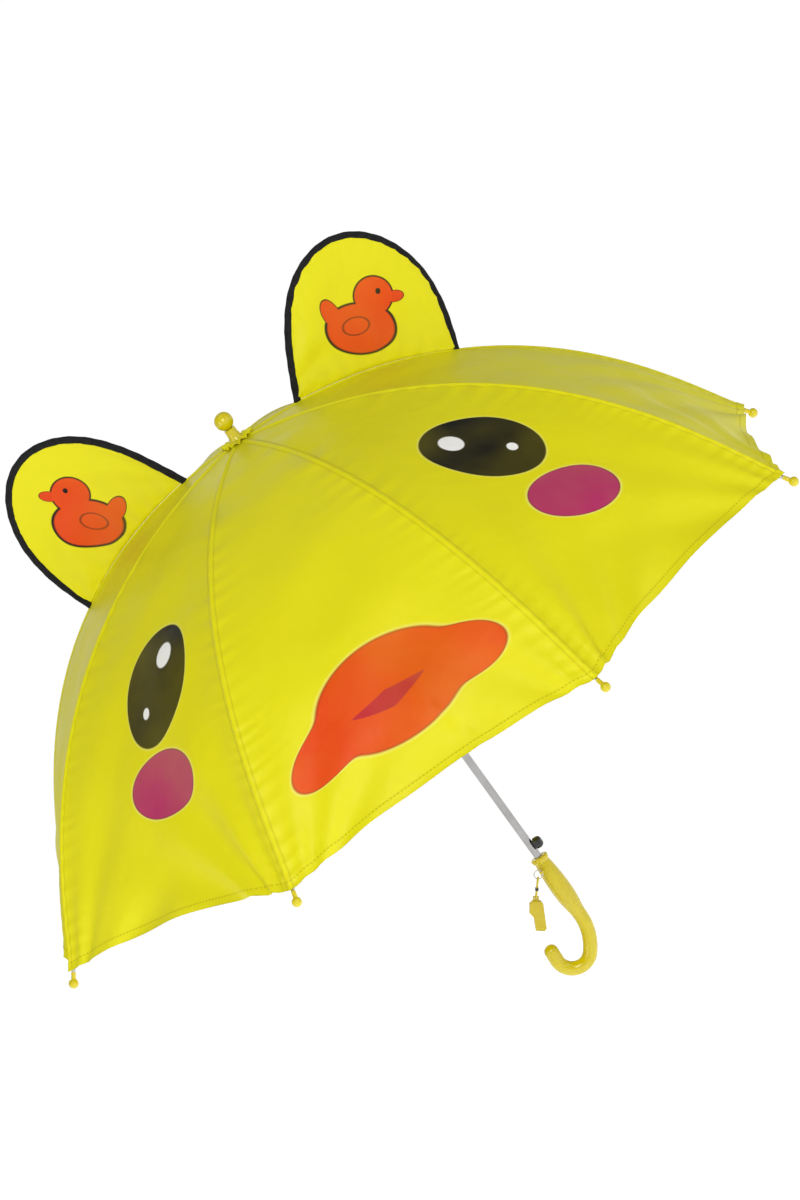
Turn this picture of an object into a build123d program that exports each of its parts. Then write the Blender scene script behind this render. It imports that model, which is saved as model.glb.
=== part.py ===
from build123d import *
import os
from math import cos, pi, radians, sin

# Children's automatic umbrella, standing upright and open. Millimetres.
# Origin on the shaft axis in the middle of the grip, +Z up the shaft.
# The canopy's face looks towards -Y, and the hook points towards -X.
os.makedirs("parts", exist_ok=True)

# ---------------------------------------------------------------- heights on the shaft
collar_top = 43.0
button_height = 54.5
notch_height = 482.0
canopy_top = 491.3
ferrule_ball_height = 512.3

# ---------------------------------------------------------------- ribs and linkage
rib_count = 8
first_rib_angle = -112.5
rib_pitch = 360 / rib_count
rib_angles = [first_rib_angle + rib_pitch * i for i in range(rib_count)]
pivot_radius = 10.5
strut_length = 210.0
open_angle = 74.2
link_length = 36.0
rise = strut_length * cos(radians(open_angle))
reach = strut_length * sin(radians(open_angle))
runner_height = notch_height - 2 * rise
elbow = (pivot_radius + reach, notch_height - rise)
slide_height = runner_height + 2 * link_length * cos(radians(open_angle))
link_elbow = (
    pivot_radius + link_length * sin(radians(open_angle)),
    runner_height + link_length * cos(radians(open_angle)),
)

# ---------------------------------------------------------------- tube, hubs and wires
tube_radius = 3.5
tube_bore = 2.9
tube_foot = -3.0
tube_head = 503.0
running_gap = 0.08
hub_radius = 13.0
hub_half_height = 3.5
slot_floor = 7.5
slot_width = 1.8
wire_radius = 0.6
wire_seat = 0.62
eye_radius = 0.68
pin_radius = 0.6
pin_hole = 0.66
tab_thickness = 1.2

# ---------------------------------------------------------------- canopy
cloth = 0.7
half_gore_angle = 22.3
rib_line = [(5, canopy_top), (289, 471.6), (371, 255), (395, 231)]
panel_line = [(5, canopy_top), (267, 470), (341, 260), (358, 241)]


def polar_copy(source, name, angle):
    """Turn one finished piece about the shaft and write it as its own node."""
    with BuildPart() as copy:
        add(source.part, rotation=(0, 0, angle))
    copy.part.label = name
    export_step(copy.part, f"parts/{name}.step")


def write(piece, name):
    piece.part.label = name
    export_step(piece.part, f"parts/{name}.step")


# ================================================================ fixed frame
with BuildPart() as shaft_tube:
    with BuildSketch(Plane.XY.offset(tube_foot)):
        Circle(tube_radius)
        Circle(tube_bore, mode=Mode.SUBTRACT)
    extrude(amount=tube_head - tube_foot)
    button_angle = -20.0
    slot_size = (3.4, 7.4)
    button_plane = Plane(
        origin=(0, 0, button_height),
        x_dir=(-sin(radians(button_angle)), cos(radians(button_angle)), 0),
        z_dir=(cos(radians(button_angle)), sin(radians(button_angle)), 0),
    )
    with BuildSketch(button_plane):
        Rectangle(*slot_size)
    extrude(amount=2 * tube_radius, mode=Mode.SUBTRACT)
write(shaft_tube, "shaft_tube")

# Ferrule: a neck that grips the head of the tube, under a ball
ferrule_ball_radius = 8.2
with BuildPart() as ferrule:
    with BuildSketch(Plane.XZ):
        with BuildLine():
            Line((0, 494), (6.6, 494))
            Spline((6.6, 494), (5.3, 499), (5.2, 504.5))
            Line((5.2, 504.5), (0, 504.5))
            Line((0, 504.5), (0, 494))
        make_face()
    revolve(axis=Axis.Z)
    with Locations((0, 0, ferrule_ball_height)):
        Sphere(ferrule_ball_radius)
    with BuildSketch(Plane.XY.offset(494)):
        Circle(tube_radius)
    extrude(amount=tube_head - 494, mode=Mode.SUBTRACT)
write(ferrule, "ferrule")

# Canopy cap: a small gathered cone of cloth between the ferrule and the gores
cap_radius = 15.0
with BuildPart() as canopy_cap:
    with BuildSketch(Plane.XZ):
        with BuildLine():
            Polyline(
                (tube_radius, 492.0), (cap_radius, 491.9), (cap_radius, 492.4),
                (8, 494), (tube_radius, 494), (tube_radius, 492.0),
            )
        make_face()
    revolve(axis=Axis.Z)
write(canopy_cap, "canopy_cap")


def slotted_hub(height, bore, half_height):
    """A disc with a slot for every strut and a seat for the tie wire."""
    with BuildPart() as hub:
        with BuildSketch(Plane.XY.offset(height - half_height)):
            Circle(hub_radius)
            Circle(bore, mode=Mode.SUBTRACT)
            with PolarLocations((slot_floor + hub_radius + 1) / 2, rib_count, first_rib_angle):
                Rectangle(hub_radius + 1 - slot_floor, slot_width, mode=Mode.SUBTRACT)
        extrude(amount=2 * half_height)
        with Locations((0, 0, height)):
            Torus(pivot_radius, wire_seat, mode=Mode.SUBTRACT)
    return hub


def tie_wire(height):
    with BuildPart() as wire:
        with Locations((0, 0, height)):
            Torus(pivot_radius, wire_radius)
    return wire


with BuildPart() as top_notch:
    add(slotted_hub(notch_height, tube_radius, hub_half_height).part)
    with BuildSketch(Plane.XY.offset(notch_height + hub_half_height)):
        Circle(6.5)
        Circle(tube_radius, mode=Mode.SUBTRACT)
    extrude(amount=4)
write(top_notch, "top_notch")
write(tie_wire(notch_height), "top_wire")

# ================================================================ handle
grip_end = -20.0
rod_radius = 6.4
collar_radius = 8.0
collar_height = 5.4
collar_neck = 6.8
neck_bend = (52, -40)
bowl_bend = (15.5, -144)
hook_end = 9
lug_height = collar_top - 10.2
lug_thickness = 1.4
lug_hole = 0.75
ring_plane_y = -12.2
ring_radius = 3.8
ring_wire = 0.5
ring_x = -8.2
lug_eye = (ring_x + ring_radius, ring_plane_y)
with BuildPart() as handle:
    with BuildSketch(Plane.XZ):
        with BuildLine():
            Line((0, collar_top), (collar_radius - 1.8, collar_top))
            Spline(
                (collar_radius - 1.8, collar_top), (collar_radius, collar_top - collar_height / 2),
                (collar_neck, collar_top - collar_height),
                tangents=[(1, 0), (-0.6, -1)],
            )
            Spline(
                (collar_neck, collar_top - collar_height), (8.2, 25), (8.9, 9), (7.8, -8),
                (rod_radius, grip_end),
                tangents=[(0.15, -1), (0, -1)],
            )
            Line((rod_radius, grip_end), (0, grip_end))
            Line((0, grip_end), (0, collar_top))
        make_face()
    revolve(axis=Axis.Z)
    with BuildLine(Plane.XZ) as hook_line:
        neck = JernArc(start=(0, grip_end), tangent=(0, -1), radius=neck_bend[0], arc_size=neck_bend[1])
        bowl = JernArc(start=neck @ 1, tangent=neck % 1, radius=bowl_bend[0], arc_size=bowl_bend[1])
        Line(bowl @ 1, bowl @ 1 + (bowl % 1) * hook_end)
    with BuildSketch(Plane(origin=(0, 0, grip_end), z_dir=(0, 0, -1))):
        Circle(rod_radius)
    sweep(path=hook_line.line)
    with Locations(hook_line.line @ 1):
        Sphere(rod_radius)
    # lug for the split ring, in front of the neck
    with BuildSketch(Plane.XY.offset(lug_height - lug_thickness / 2)):
        with Locations(lug_eye):
            Circle(2.0)
        with Locations((lug_eye[0] + 0.2, lug_eye[1] + 3.6)):
            Rectangle(4.0, 7.2)
    extrude(amount=lug_thickness)
    with BuildSketch(Plane.XY.offset(tube_foot)):
        Circle(tube_radius)
    extrude(amount=collar_top - tube_foot, mode=Mode.SUBTRACT)
    with Locations((*lug_eye, lug_height)):
        Cylinder(lug_hole, 4, mode=Mode.SUBTRACT)
write(handle, "handle")

# ================================================================ release button
button_travel = 1.5
button_cap = (8.6, 10.4, 6.2)
with BuildPart() as release_button:
    with BuildSketch(button_plane.offset(1.9)):
        Rectangle(slot_size[0] - 0.4, slot_size[1] - 0.4)
    extrude(amount=3.6)
    with BuildSketch(button_plane.offset(tube_radius + button_travel + 0.3)):
        RectangleRounded(*button_cap[:2], 3.9)
    extrude(amount=button_cap[2])
    fillet(release_button.faces().sort_by(Axis(button_plane.origin, button_plane.z_dir))[-1].edges(), 3.4)
write(release_button, "release_button")

# Leaf spring inside the tube, bowed against the button's foot
with BuildPart() as button_spring:
    leaf_plane = Plane(origin=(0, 0, 0), x_dir=button_plane.z_dir, z_dir=-button_plane.x_dir)
    with BuildSketch(leaf_plane):
        with BuildLine():
            bow = Spline((-1.6, button_height - 18), (1.5, button_height), (-1.6, button_height + 18))
            back = Spline((-2.0, button_height - 18), (1.1, button_height), (-2.0, button_height + 18))
            Line(bow @ 0, back @ 0)
            Line(bow @ 1, back @ 1)
        make_face()
    extrude(amount=1.1, both=True)
write(button_spring, "button_spring")

# ================================================================ ribs, tips, stretchers, links
rib_end = (392.3, 229.0)
tip_reach = 9.6
tip_ball_radius = 4.3
stem_radius = 2.0
rib_half = 1.3
rib_wall = 0.45
tab_end = 22.0
rib_points = [(pivot_radius, notch_height), (153, 455.3), elbow, (326, 324.5), (369.5, 260.8), rib_end]


def bar_between(start, end, height, thickness, offset=0.0):
    """A round-ended flat bar between two points of a plane parallel to XZ."""
    a, b = Vector(*start), Vector(*end)
    middle = (a + b) * 0.5
    tilt = (b - a).get_signed_angle(Vector(1, 0, 0), Vector(0, 0, -1))
    with BuildSketch(Plane.XZ.offset(offset)) as outline:
        with Locations((middle.X, middle.Y)):
            SlotCenterToCenter((b - a).length, height, rotation=tilt)
    extrude(outline.sketch, amount=thickness / 2, both=True)


def cross_hole(point, radius, mode=Mode.SUBTRACT, length=8.0):
    """A round bar along Y through a point of the XZ plane."""
    with BuildSketch(Plane.XZ) as disc:
        with Locations(point):
            Circle(radius)
    extrude(disc.sketch, amount=length / 2, both=True, mode=mode)


with BuildPart() as rib:
    with BuildLine(Plane.XZ) as rib_path:
        Spline(*rib_points)
    with BuildSketch(Plane(origin=rib_path.line @ 0, x_dir=(0, 1, 0), z_dir=rib_path.line % 0)):
        Rectangle(2 * rib_half, 2 * rib_half)
        with Locations((0, -rib_wall)):
            Rectangle(2 * (rib_half - rib_wall), 2 * rib_half, mode=Mode.SUBTRACT)
    sweep(path=rib_path.line)
    with Locations((0, 0, notch_height)):
        Box(2 * tab_end, 10, 20, mode=Mode.SUBTRACT)
    root_point = rib_path.line.edges()[0] @ 0.045
    bar_between((pivot_radius, notch_height), (root_point.X, root_point.Z), 2.4, tab_thickness)
    cross_hole((pivot_radius, notch_height), eye_radius)
    cross_hole(elbow, pin_hole)

stem_plane = Plane(origin=rib_path.line @ 1, z_dir=rib_path.line % 1)
with BuildPart() as rib_tip:
    with BuildSketch(stem_plane):
        Circle(stem_radius)
    extrude(amount=tip_reach)
    with Locations(stem_plane.offset(tip_reach).location):
        Sphere(tip_ball_radius)


def along(start, end, distance):
    a, b = Vector(*start), Vector(*end)
    point = a + (b - a).normalized() * distance
    return (point.X, point.Y)


def strut(foot, head, tab_length, fork_length, fork_gap, cheek):
    """A strut with a thin eye at its foot and a riveted fork at its head."""
    length = (Vector(*head) - Vector(*foot)).length
    neck_start = length - fork_length - 6
    with BuildPart() as piece:
        bar_between(foot, along(foot, head, tab_length), 2.8, tab_thickness)
        if neck_start > tab_length:
            bar_between(along(foot, head, tab_length - 4), along(foot, head, neck_start + 2), 2.8, 2.2)
        bar_between(
            along(foot, head, neck_start), along(foot, head, length - fork_length), 2.8,
            2 * (fork_gap + cheek),
        )
        for side in (1, -1):
            bar_between(along(foot, head, neck_start), head, 2.8, cheek, side * (fork_gap + cheek / 2))
        cross_hole(head, pin_radius, Mode.ADD, 2 * (fork_gap + cheek) + 0.6)
        cross_hole(foot, eye_radius)
    return piece


runner_pivot = (pivot_radius, runner_height)
slide_pivot = (pivot_radius, slide_height)
with BuildPart() as stretcher:
    add(strut(runner_pivot, elbow, link_length + 10.5, 13, rib_half + 0.25, 0.6).part)
    cross_hole(link_elbow, pin_hole)
link = strut(slide_pivot, link_elbow, 24, 8, tab_thickness / 2 + 0.2, 0.6)

for number, angle in enumerate(rib_angles, start=1):
    polar_copy(rib, f"rib_{number}", angle)
    polar_copy(rib_tip, f"rib_tip_{number}", angle)
    polar_copy(stretcher, f"stretcher_{number}", angle)
    polar_copy(link, f"link_{number}", angle)

# ================================================================ runner and opening spring
runner_foot = runner_height - 27
sleeve_wall = 0.9
sleeve_head = runner_height + 88
with BuildPart() as runner:
    add(slotted_hub(runner_height, tube_radius + running_gap, hub_half_height).part)
    with BuildSketch(Plane.XY.offset(runner_foot)):
        Circle(6.2)
        Circle(tube_radius + running_gap, mode=Mode.SUBTRACT)
    extrude(amount=27 - hub_half_height)
    with BuildSketch(Plane.XY.offset(runner_foot)):
        Circle(8.4)
        Circle(tube_radius + running_gap, mode=Mode.SUBTRACT)
    extrude(amount=3)
write(runner, "runner")
write(tie_wire(runner_height), "runner_wire")

sleeve_outer = tube_radius + running_gap + sleeve_wall
with BuildPart() as spring_sleeve:
    with BuildSketch(Plane.XY.offset(runner_height + hub_half_height)):
        Circle(sleeve_outer)
        Circle(tube_radius + running_gap, mode=Mode.SUBTRACT)
    extrude(amount=sleeve_head - runner_height - hub_half_height)
    with BuildSketch(Plane.XY.offset(sleeve_head - 2)):
        Circle(7.2)
        Circle(tube_radius + running_gap, mode=Mode.SUBTRACT)
    extrude(amount=2)
write(spring_sleeve, "spring_sleeve")

slide_half_height = 3.0
with BuildPart() as spring_slide:
    add(slotted_hub(slide_height, sleeve_outer + running_gap, slide_half_height).part)
    with Locations((0, 0, slide_height)):
        Torus(pivot_radius, wire_radius)
write(spring_slide, "spring_slide")

spring_wire = 0.5
coil_radius = sleeve_outer + spring_wire + 0.5
coil_foot = slide_height + slide_half_height + spring_wire + 0.15
coil_head = sleeve_head - 2 - spring_wire - 0.15
with BuildPart() as opening_spring:
    with BuildLine() as coil:
        Helix(
            pitch=(coil_head - coil_foot) / 11, height=coil_head - coil_foot,
            radius=coil_radius, center=(0, 0, coil_foot),
        )
    with BuildSketch(Plane(origin=coil.line @ 0, z_dir=coil.line % 0)):
        Circle(spring_wire)
    sweep(path=coil.line, is_frenet=True)
write(opening_spring, "opening_spring")

# ================================================================ canopy and ears


def cloth_section(angle, line):
    """One radial section of the cloth: a thin band under the given outline."""
    plane = Plane(
        origin=(0, 0, 0),
        x_dir=(cos(radians(angle)), sin(radians(angle)), 0),
        z_dir=(sin(radians(angle)), -cos(radians(angle)), 0),
    )
    under = [(x, z - cloth) for x, z in line]
    with BuildSketch(plane) as section:
        with BuildLine():
            Bezier(*line)
            Line(line[-1], under[-1])
            Bezier(*under)
            Line(under[0], line[0])
        make_face()
    return section


with BuildPart() as gore:
    for side in (-1, 1):
        ridge = cloth_section(0, rib_line)
        edge = cloth_section(side * half_gore_angle, panel_line)
        loft([ridge.sketch.face(), edge.sketch.face()], ruled=True)

for number, angle in enumerate(rib_angles, start=1):
    polar_copy(gore, f"gore_{number}", angle)

ear_thickness = 2.0
ear_rise = 0.8
with BuildPart() as ear:
    with BuildSketch(Plane.XZ):
        with BuildLine():
            Spline((62, 478), (92, 531), (122, 563), (165, 577), (205, 560), (227, 512), (221, 462), (207, 425))
            Line((207, 425), (62, 478))
        make_face()
        with BuildLine():
            Bezier(*[(x, z + ear_rise) for x, z in rib_line])
            Line((395, 231 + ear_rise), (5, 231 + ear_rise))
            Line((5, 231 + ear_rise), (5, canopy_top + ear_rise))
        make_face(mode=Mode.SUBTRACT)
    extrude(amount=ear_thickness / 2, both=True)
polar_copy(ear, "ear_right", rib_angles[3])
polar_copy(ear, "ear_left", rib_angles[6])

# ================================================================ tie strap
strap_size = (0.8, 12.0, 90.0)
with BuildPart() as tie_strap:
    with Locations((384, 20, 231 - strap_size[2] / 2)):
        Box(*strap_size)
    fillet(tie_strap.edges().filter_by(Axis.X).group_by(Axis.Z)[0], 5)
polar_copy(tie_strap, "tie_strap", rib_angles[4])

# ================================================================ whistle on its cord
hang_angle = 35.8
cord_angle = 40.8
ring_centre = (ring_x, ring_plane_y, lug_height)


def hanging(angle):
    """A direction in the whistle's plane, at this angle from straight down."""
    return Vector(-sin(radians(angle)), 0, -cos(radians(angle)))


# local X runs down the cord, local Y along +Y, from the ring's centre
cord_plane = Plane(
    origin=ring_centre, x_dir=hanging(cord_angle), z_dir=hanging(cord_angle).cross(Vector(0, 1, 0)),
)
face_plane = Plane(origin=ring_centre, x_dir=hanging(hang_angle), z_dir=(0, -1, 0))

with BuildPart() as split_ring:
    with BuildSketch(Plane(origin=(*lug_eye, lug_height), z_dir=(0, 0, 1))):
        Circle(ring_wire)
    revolve(axis=Axis(ring_centre, (0, 1, 0)))
write(split_ring, "split_ring")

cord_radius = 0.8
cord_route = [
    (12.2, 0.95), (7.4, 1.45), (3.6, 1.95), (2.0, 0.0), (3.4, -1.95), (7.8, -1.4), (12.6, -0.95),
    (16.4, -1.35), (19.6, -1.95), (21.2, 0.0), (19.8, 1.95), (16.8, 1.45), (13.4, 0.95),
]


def tangent_radii(route):
    """For each corner the arc radius that takes up 0.45 of its shorter run."""
    radii = []
    for before, corner, after in zip(route, route[1:], route[2:]):
        run_in, run_out = Vector(*corner) - Vector(*before), Vector(*after) - Vector(*corner)
        turn = run_in.get_angle(run_out)
        shorter = min(run_in.length, run_out.length)
        radii.append(0.45 * shorter * cos(radians(turn / 2)) / sin(radians(turn / 2)))
    return radii


cord_radii = tangent_radii(cord_route)
print("cord radii", [round(r, 1) for r in cord_radii])
with BuildPart() as whistle_cord:
    with BuildLine(cord_plane) as cord_line:
        FilletPolyline(*cord_route, radius=cord_radii)
    with BuildSketch(Plane(origin=cord_line.line @ 0, z_dir=cord_line.line % 0)):
        Circle(cord_radius)
    sweep(path=cord_line.line)
cord_length = sum(edge.length for edge in cord_line.edges())
print("cord length", round(cord_length, 1))
print("cord volume over section times length", whistle_cord.part.volume / (cord_length * pi * cord_radius**2))
write(whistle_cord, "whistle_cord")

with BuildPart() as cord_crimp:
    with BuildSketch(cord_plane.offset(-1.3)):
        with Locations((12.8, 0)):
            RectangleRounded(2.6, 4.4, 0.6)
    extrude(amount=2.6)
    add(whistle_cord.part, mode=Mode.SUBTRACT)
write(cord_crimp, "cord_crimp")

whistle_outline = [
    (23.0, -4.6), (25.2, -7.2), (33.5, -7.2), (37.5, -3.4), (49.2, -1.4), (49.6, 6.0), (47.6, 8.0),
    (25.4, 4.6), (23.0, 2.6),
]
whistle_thickness = 6.0
whistle_eye = (20.52, -1.8)
with BuildPart() as whistle:
    with BuildSketch(face_plane.offset(-whistle_thickness / 2)) as whistle_face:
        with BuildLine():
            Polyline(*whistle_outline, whistle_outline[0])
        make_face()
        fillet(whistle_face.vertices(), 0.9)
    extrude(amount=whistle_thickness)
    fillet(whistle.faces().filter_by(Axis.Y).edges(), 0.7)
    with BuildSketch(face_plane.offset(-1.0)):
        with Locations((22.2, whistle_eye[1])):
            Rectangle(6.4, 5.2)
        with Locations(whistle_eye):
            Circle(1.25, mode=Mode.SUBTRACT)
    extrude(amount=2.0)
write(whistle, "whistle")
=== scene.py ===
"""A children's umbrella with a printed face and two ears, standing upright and open.

Lengths are in metres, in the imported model's own frame: +Z up the shaft, the face towards -Y.
"""

import math

import bpy
import numpy as np
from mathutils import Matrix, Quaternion, Vector


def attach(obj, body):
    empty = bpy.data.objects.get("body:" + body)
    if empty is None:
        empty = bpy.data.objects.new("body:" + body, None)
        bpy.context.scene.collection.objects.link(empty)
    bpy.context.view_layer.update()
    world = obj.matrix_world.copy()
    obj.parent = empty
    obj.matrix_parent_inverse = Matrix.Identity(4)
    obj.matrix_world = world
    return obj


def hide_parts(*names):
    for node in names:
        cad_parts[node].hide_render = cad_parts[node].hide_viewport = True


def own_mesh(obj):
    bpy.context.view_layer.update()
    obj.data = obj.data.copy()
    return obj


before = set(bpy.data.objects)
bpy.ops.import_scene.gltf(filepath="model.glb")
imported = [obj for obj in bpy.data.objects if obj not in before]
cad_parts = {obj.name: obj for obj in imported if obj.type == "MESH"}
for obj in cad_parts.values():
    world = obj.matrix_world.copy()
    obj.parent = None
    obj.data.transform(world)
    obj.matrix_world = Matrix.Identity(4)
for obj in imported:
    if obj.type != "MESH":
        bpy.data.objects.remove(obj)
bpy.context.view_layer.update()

# ---------------------------------------------------------------- driving sizes
RIBS = 8
PITCH = 2 * math.pi / RIBS
FIRST_RIB = math.radians(-112.5)
HALF_PITCH = PITCH / 2
RIB_ANGLES = [FIRST_RIB + PITCH * i for i in range(RIBS)]
# Bezier lines, as (out from the shaft, up): a rib, and the cloth midway between two ribs.
RIB_LINE = np.array([(5, 491.3), (289, 471.6), (371, 255), (395, 231)]) / 1000
PANEL_LINE = np.array([(5, 491.3), (267, 470), (341, 260), (358.5, 240)]) / 1000
CLOTH = 0.0005
# The ear's curved edge in its rib's plane, as (out, up), from its inner foot to its outer one.
EAR_LINE = np.array(
    [(60, 480), (72, 503), (90, 533), (112, 558), (137, 573), (165, 577.5), (190, 570),
     (209, 553), (221, 530), (226, 503), (223, 473), (215, 447), (207, 427)]
) / 1000
# Places in RIB_ANGLES, so rib_4, rib_7 and rib_5.
RIGHT_EAR_RIB, LEFT_EAR_RIB, STRAP_RIB = 3, 6, 4
UP = np.array([0, 0, 1.0])


def bezier(points, t):
    """Points of a cubic Bezier line at each t from 0 to 1."""
    t = np.asarray(t, float)[..., None]
    a, b, c, d = points
    return (1 - t) ** 3 * a + 3 * (1 - t) ** 2 * t * b + 3 * (1 - t) * t**2 * c + t**3 * d


def unit(v):
    return v / np.maximum(np.linalg.norm(v, axis=-1, keepdims=True), 1e-12)


def radial(angle):
    return np.array([math.cos(angle), math.sin(angle), 0.0])


def tangential(angle):
    return np.array([-math.sin(angle), math.cos(angle), 0.0])


# ---------------------------------------------------------------- camera
VIEW_AZIMUTH, VIEW_ELEVATION = math.radians(-4.35), math.radians(12.8)
VIEW_ROLL = math.radians(35.8)
VIEW_DISTANCE = 6.404
RIM_HEIGHT = 0.226
SENSOR = 36.0
LENS = 224.6
AIM_SIDE, AIM_UP = 0.0327, 0.0697


def make_camera():
    """The photograph's view: from the front, a little above, with the camera rolled."""
    forward = Vector((
        math.sin(VIEW_AZIMUTH) * math.cos(VIEW_ELEVATION),
        math.cos(VIEW_AZIMUTH) * math.cos(VIEW_ELEVATION),
        -math.sin(VIEW_ELEVATION),
    ))
    right = Vector((math.cos(VIEW_AZIMUTH), -math.sin(VIEW_AZIMUTH), 0))
    up = right.cross(forward)
    place = Vector((0, 0, RIM_HEIGHT)) - VIEW_DISTANCE * forward
    aim = Vector((0, 0, RIM_HEIGHT)) + AIM_SIDE * right + AIM_UP * up
    data = bpy.data.cameras.new("camera")
    data.sensor_fit, data.sensor_width, data.sensor_height = "VERTICAL", SENSOR * 2 / 3, SENSOR
    data.lens = LENS
    camera = bpy.data.objects.new("camera", data)
    bpy.context.scene.collection.objects.link(camera)
    camera.location = place
    turn = (aim - place).to_track_quat("-Z", "Y") @ Quaternion((0, 0, 1), -VIEW_ROLL)
    camera.rotation_mode = "QUATERNION"
    camera.rotation_quaternion = turn
    bpy.context.scene.camera = camera


make_camera()

# ---------------------------------------------------------------- material kit


class Graph:
    """Short names for the shader nodes that every material here is built from."""

    def __init__(self, name, **sockets):
        self.material = bpy.data.materials.new(name)
        self.material.use_nodes = True
        self.nodes, self.links = self.material.node_tree.nodes, self.material.node_tree.links
        self.shader = self.nodes["Principled BSDF"]
        for key, value in sockets.items():
            self.shader.inputs[key.replace("_", " ")].default_value = value

    def put(self, socket, value):
        if isinstance(value, bpy.types.NodeSocket):
            self.links.new(value, socket)
        else:
            socket.default_value = value

    def node(self, kind, **fields):
        made = self.nodes.new(kind)
        for key, value in fields.items():
            setattr(made, key, value)
        return made

    def math(self, operation, a, b=0.0, clamp=False):
        made = self.node("ShaderNodeMath", operation=operation, use_clamp=clamp)
        self.put(made.inputs[0], a)
        self.put(made.inputs[1], b)
        return made.outputs[0]

    def times(self, a, b):
        return self.math("MULTIPLY", a, b)

    def mix(self, share, a, b):
        made = self.node("ShaderNodeMix", data_type="RGBA")
        self.put(made.inputs["Factor"], share)
        self.put(made.inputs["A"], a)
        self.put(made.inputs["B"], b)
        return made.outputs["Result"]

    def span(self, value, low, high, start=0.0, end=1.0):
        """The value carried from low..high to start..end, held at both ends."""
        made = self.node("ShaderNodeMapRange", clamp=True)
        limits = {"From Min": low, "From Max": high, "To Min": start, "To Max": end}
        for key, what in ({"Value": value} | limits).items():
            self.put(made.inputs[key], what)
        return made.outputs["Result"]

    def noise(self, vector, scale, detail=2.0):
        made = self.node("ShaderNodeTexNoise")
        self.links.new(vector, made.inputs["Vector"])
        made.inputs["Scale"].default_value = scale
        made.inputs["Detail"].default_value = detail
        return made.outputs["Fac"]

    def place(self):
        """Where a point lies on its own piece."""
        return self.node("ShaderNodeTexCoord").outputs["Object"]

    def layer(self, name):
        """The two values that a mesh keeps in its layer of that name."""
        made = self.node("ShaderNodeUVMap")
        made.uv_map = name
        parts = self.node("ShaderNodeSeparateXYZ")
        self.links.new(made.outputs["UV"], parts.inputs[0])
        return parts.outputs["X"], parts.outputs["Y"]

    def bump(self, height, strength, distance, normal=None):
        made = self.node("ShaderNodeBump")
        made.inputs["Strength"].default_value = strength
        made.inputs["Distance"].default_value = distance
        self.links.new(height, made.inputs["Height"])
        if normal is not None:
            self.links.new(normal, made.inputs["Normal"])
        return made.outputs["Normal"]

    def oval(self, x, y, centre, half, tilt=0.0):
        """Distance from an oval's centre, 1 on its outline."""
        c, s = math.cos(tilt), math.sin(tilt)
        dx, dy = self.math("SUBTRACT", x, centre[0]), self.math("SUBTRACT", y, centre[1])
        along = self.math("ADD", self.times(dx, c / half[0]), self.times(dy, s / half[0]))
        across = self.math("SUBTRACT", self.times(dy, c / half[1]), self.times(dx, s / half[1]))
        squares = self.math("ADD", self.times(along, along), self.times(across, across))
        return self.math("SQRT", squares)

    def blend(self, a, b, width):
        """The nearer of two distances, rounded where they meet."""
        made = self.node("ShaderNodeMath", operation="SMOOTH_MIN")
        self.put(made.inputs[0], a)
        self.put(made.inputs[1], b)
        made.inputs[2].default_value = width
        return made.outputs[0]

    def inside(self, distance, edge=1.0, soft=0.012):
        """1 within the edge and 0 outside it."""
        return self.span(distance, edge - soft, edge + soft, 1.0, 0.0)


def colour(r, g, b):
    """A colour given as its displayed 0-255 values."""
    return tuple(((v / 255) ** 2.2) for v in (r, g, b)) + (1.0,)


YELLOW = colour(228, 221, 20)
YELLOW_DEEP = colour(214, 198, 12)
SHADOW = colour(120, 104, 0)
HALO = colour(240, 232, 120)
INK = colour(12, 13, 13)
PINK = colour(178, 36, 100)
ORANGE = colour(226, 74, 6)
ORANGE_DEEP = colour(222, 68, 8)
MOUTH = colour(190, 26, 50)
WHITE = colour(248, 248, 245)

THREAD_PITCH, STITCH_PITCH = 0.0011, 0.0036
SEAM_INSET, HEM_INSET = 0.0034, 0.0062


def finish_cloth(g, base):
    """Satin polyester: crossed threads, faint unevenness, painted shade at the seams and hem stitches."""
    x, y = g.layer("cloth")
    from_rib, from_hem = g.layer("edge")
    where = g.place()
    blotches = g.noise(where, 9.0, 3.0)
    base = g.mix(g.span(blotches, 0.35, 0.75, 0.0, 0.35), base, g.mix(0.5, base, YELLOW_DEEP))
    # Painted shade: the cloth darkens along a line beside each rib's seam and in dashes along the hem's
    # stitching.
    from_seam = g.math("ABSOLUTE", g.math("SUBTRACT", from_rib, SEAM_INSET))
    seam = g.span(from_seam, 0.0003, 0.0011, 0.20, 0.0)
    from_stitches = g.math("ABSOLUTE", g.math("SUBTRACT", from_hem, HEM_INSET))
    stitch_shade = g.span(from_stitches, 0.0002, 0.0008, 0.35, 0.0)
    dashes = g.span(g.math("SINE", g.times(x, 2 * math.pi / STITCH_PITCH)), -0.3, 0.3)
    shade = g.math("ADD", seam, g.times(stitch_shade, dashes), clamp=True)
    base = g.mix(shade, base, SHADOW)
    g.put(g.shader.inputs["Base Color"], base)
    g.put(g.shader.inputs["Roughness"], g.span(g.noise(where, 60.0, 2.0), 0.3, 0.7, 0.40, 0.52))
    warp = g.math("SINE", g.times(x, 2 * math.pi / THREAD_PITCH))
    weft = g.math("SINE", g.times(y, 2 * math.pi / THREAD_PITCH))
    weave = g.times(warp, weft)
    slack = g.noise(where, 26.0, 3.0)
    normal = g.bump(slack, 0.5, 0.0035)
    g.put(g.shader.inputs["Normal"], g.bump(weave, 0.12, 0.0002, normal))


def cloth_graph(name):
    """Satin's gloss and faint sheen, before any colour."""
    return Graph(name, Sheen_Weight=0.02, Sheen_Roughness=0.5, Specular_IOR_Level=0.22)


def plain_cloth():
    g = cloth_graph("plain_satin")
    finish_cloth(g, YELLOW)
    return g.material


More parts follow.
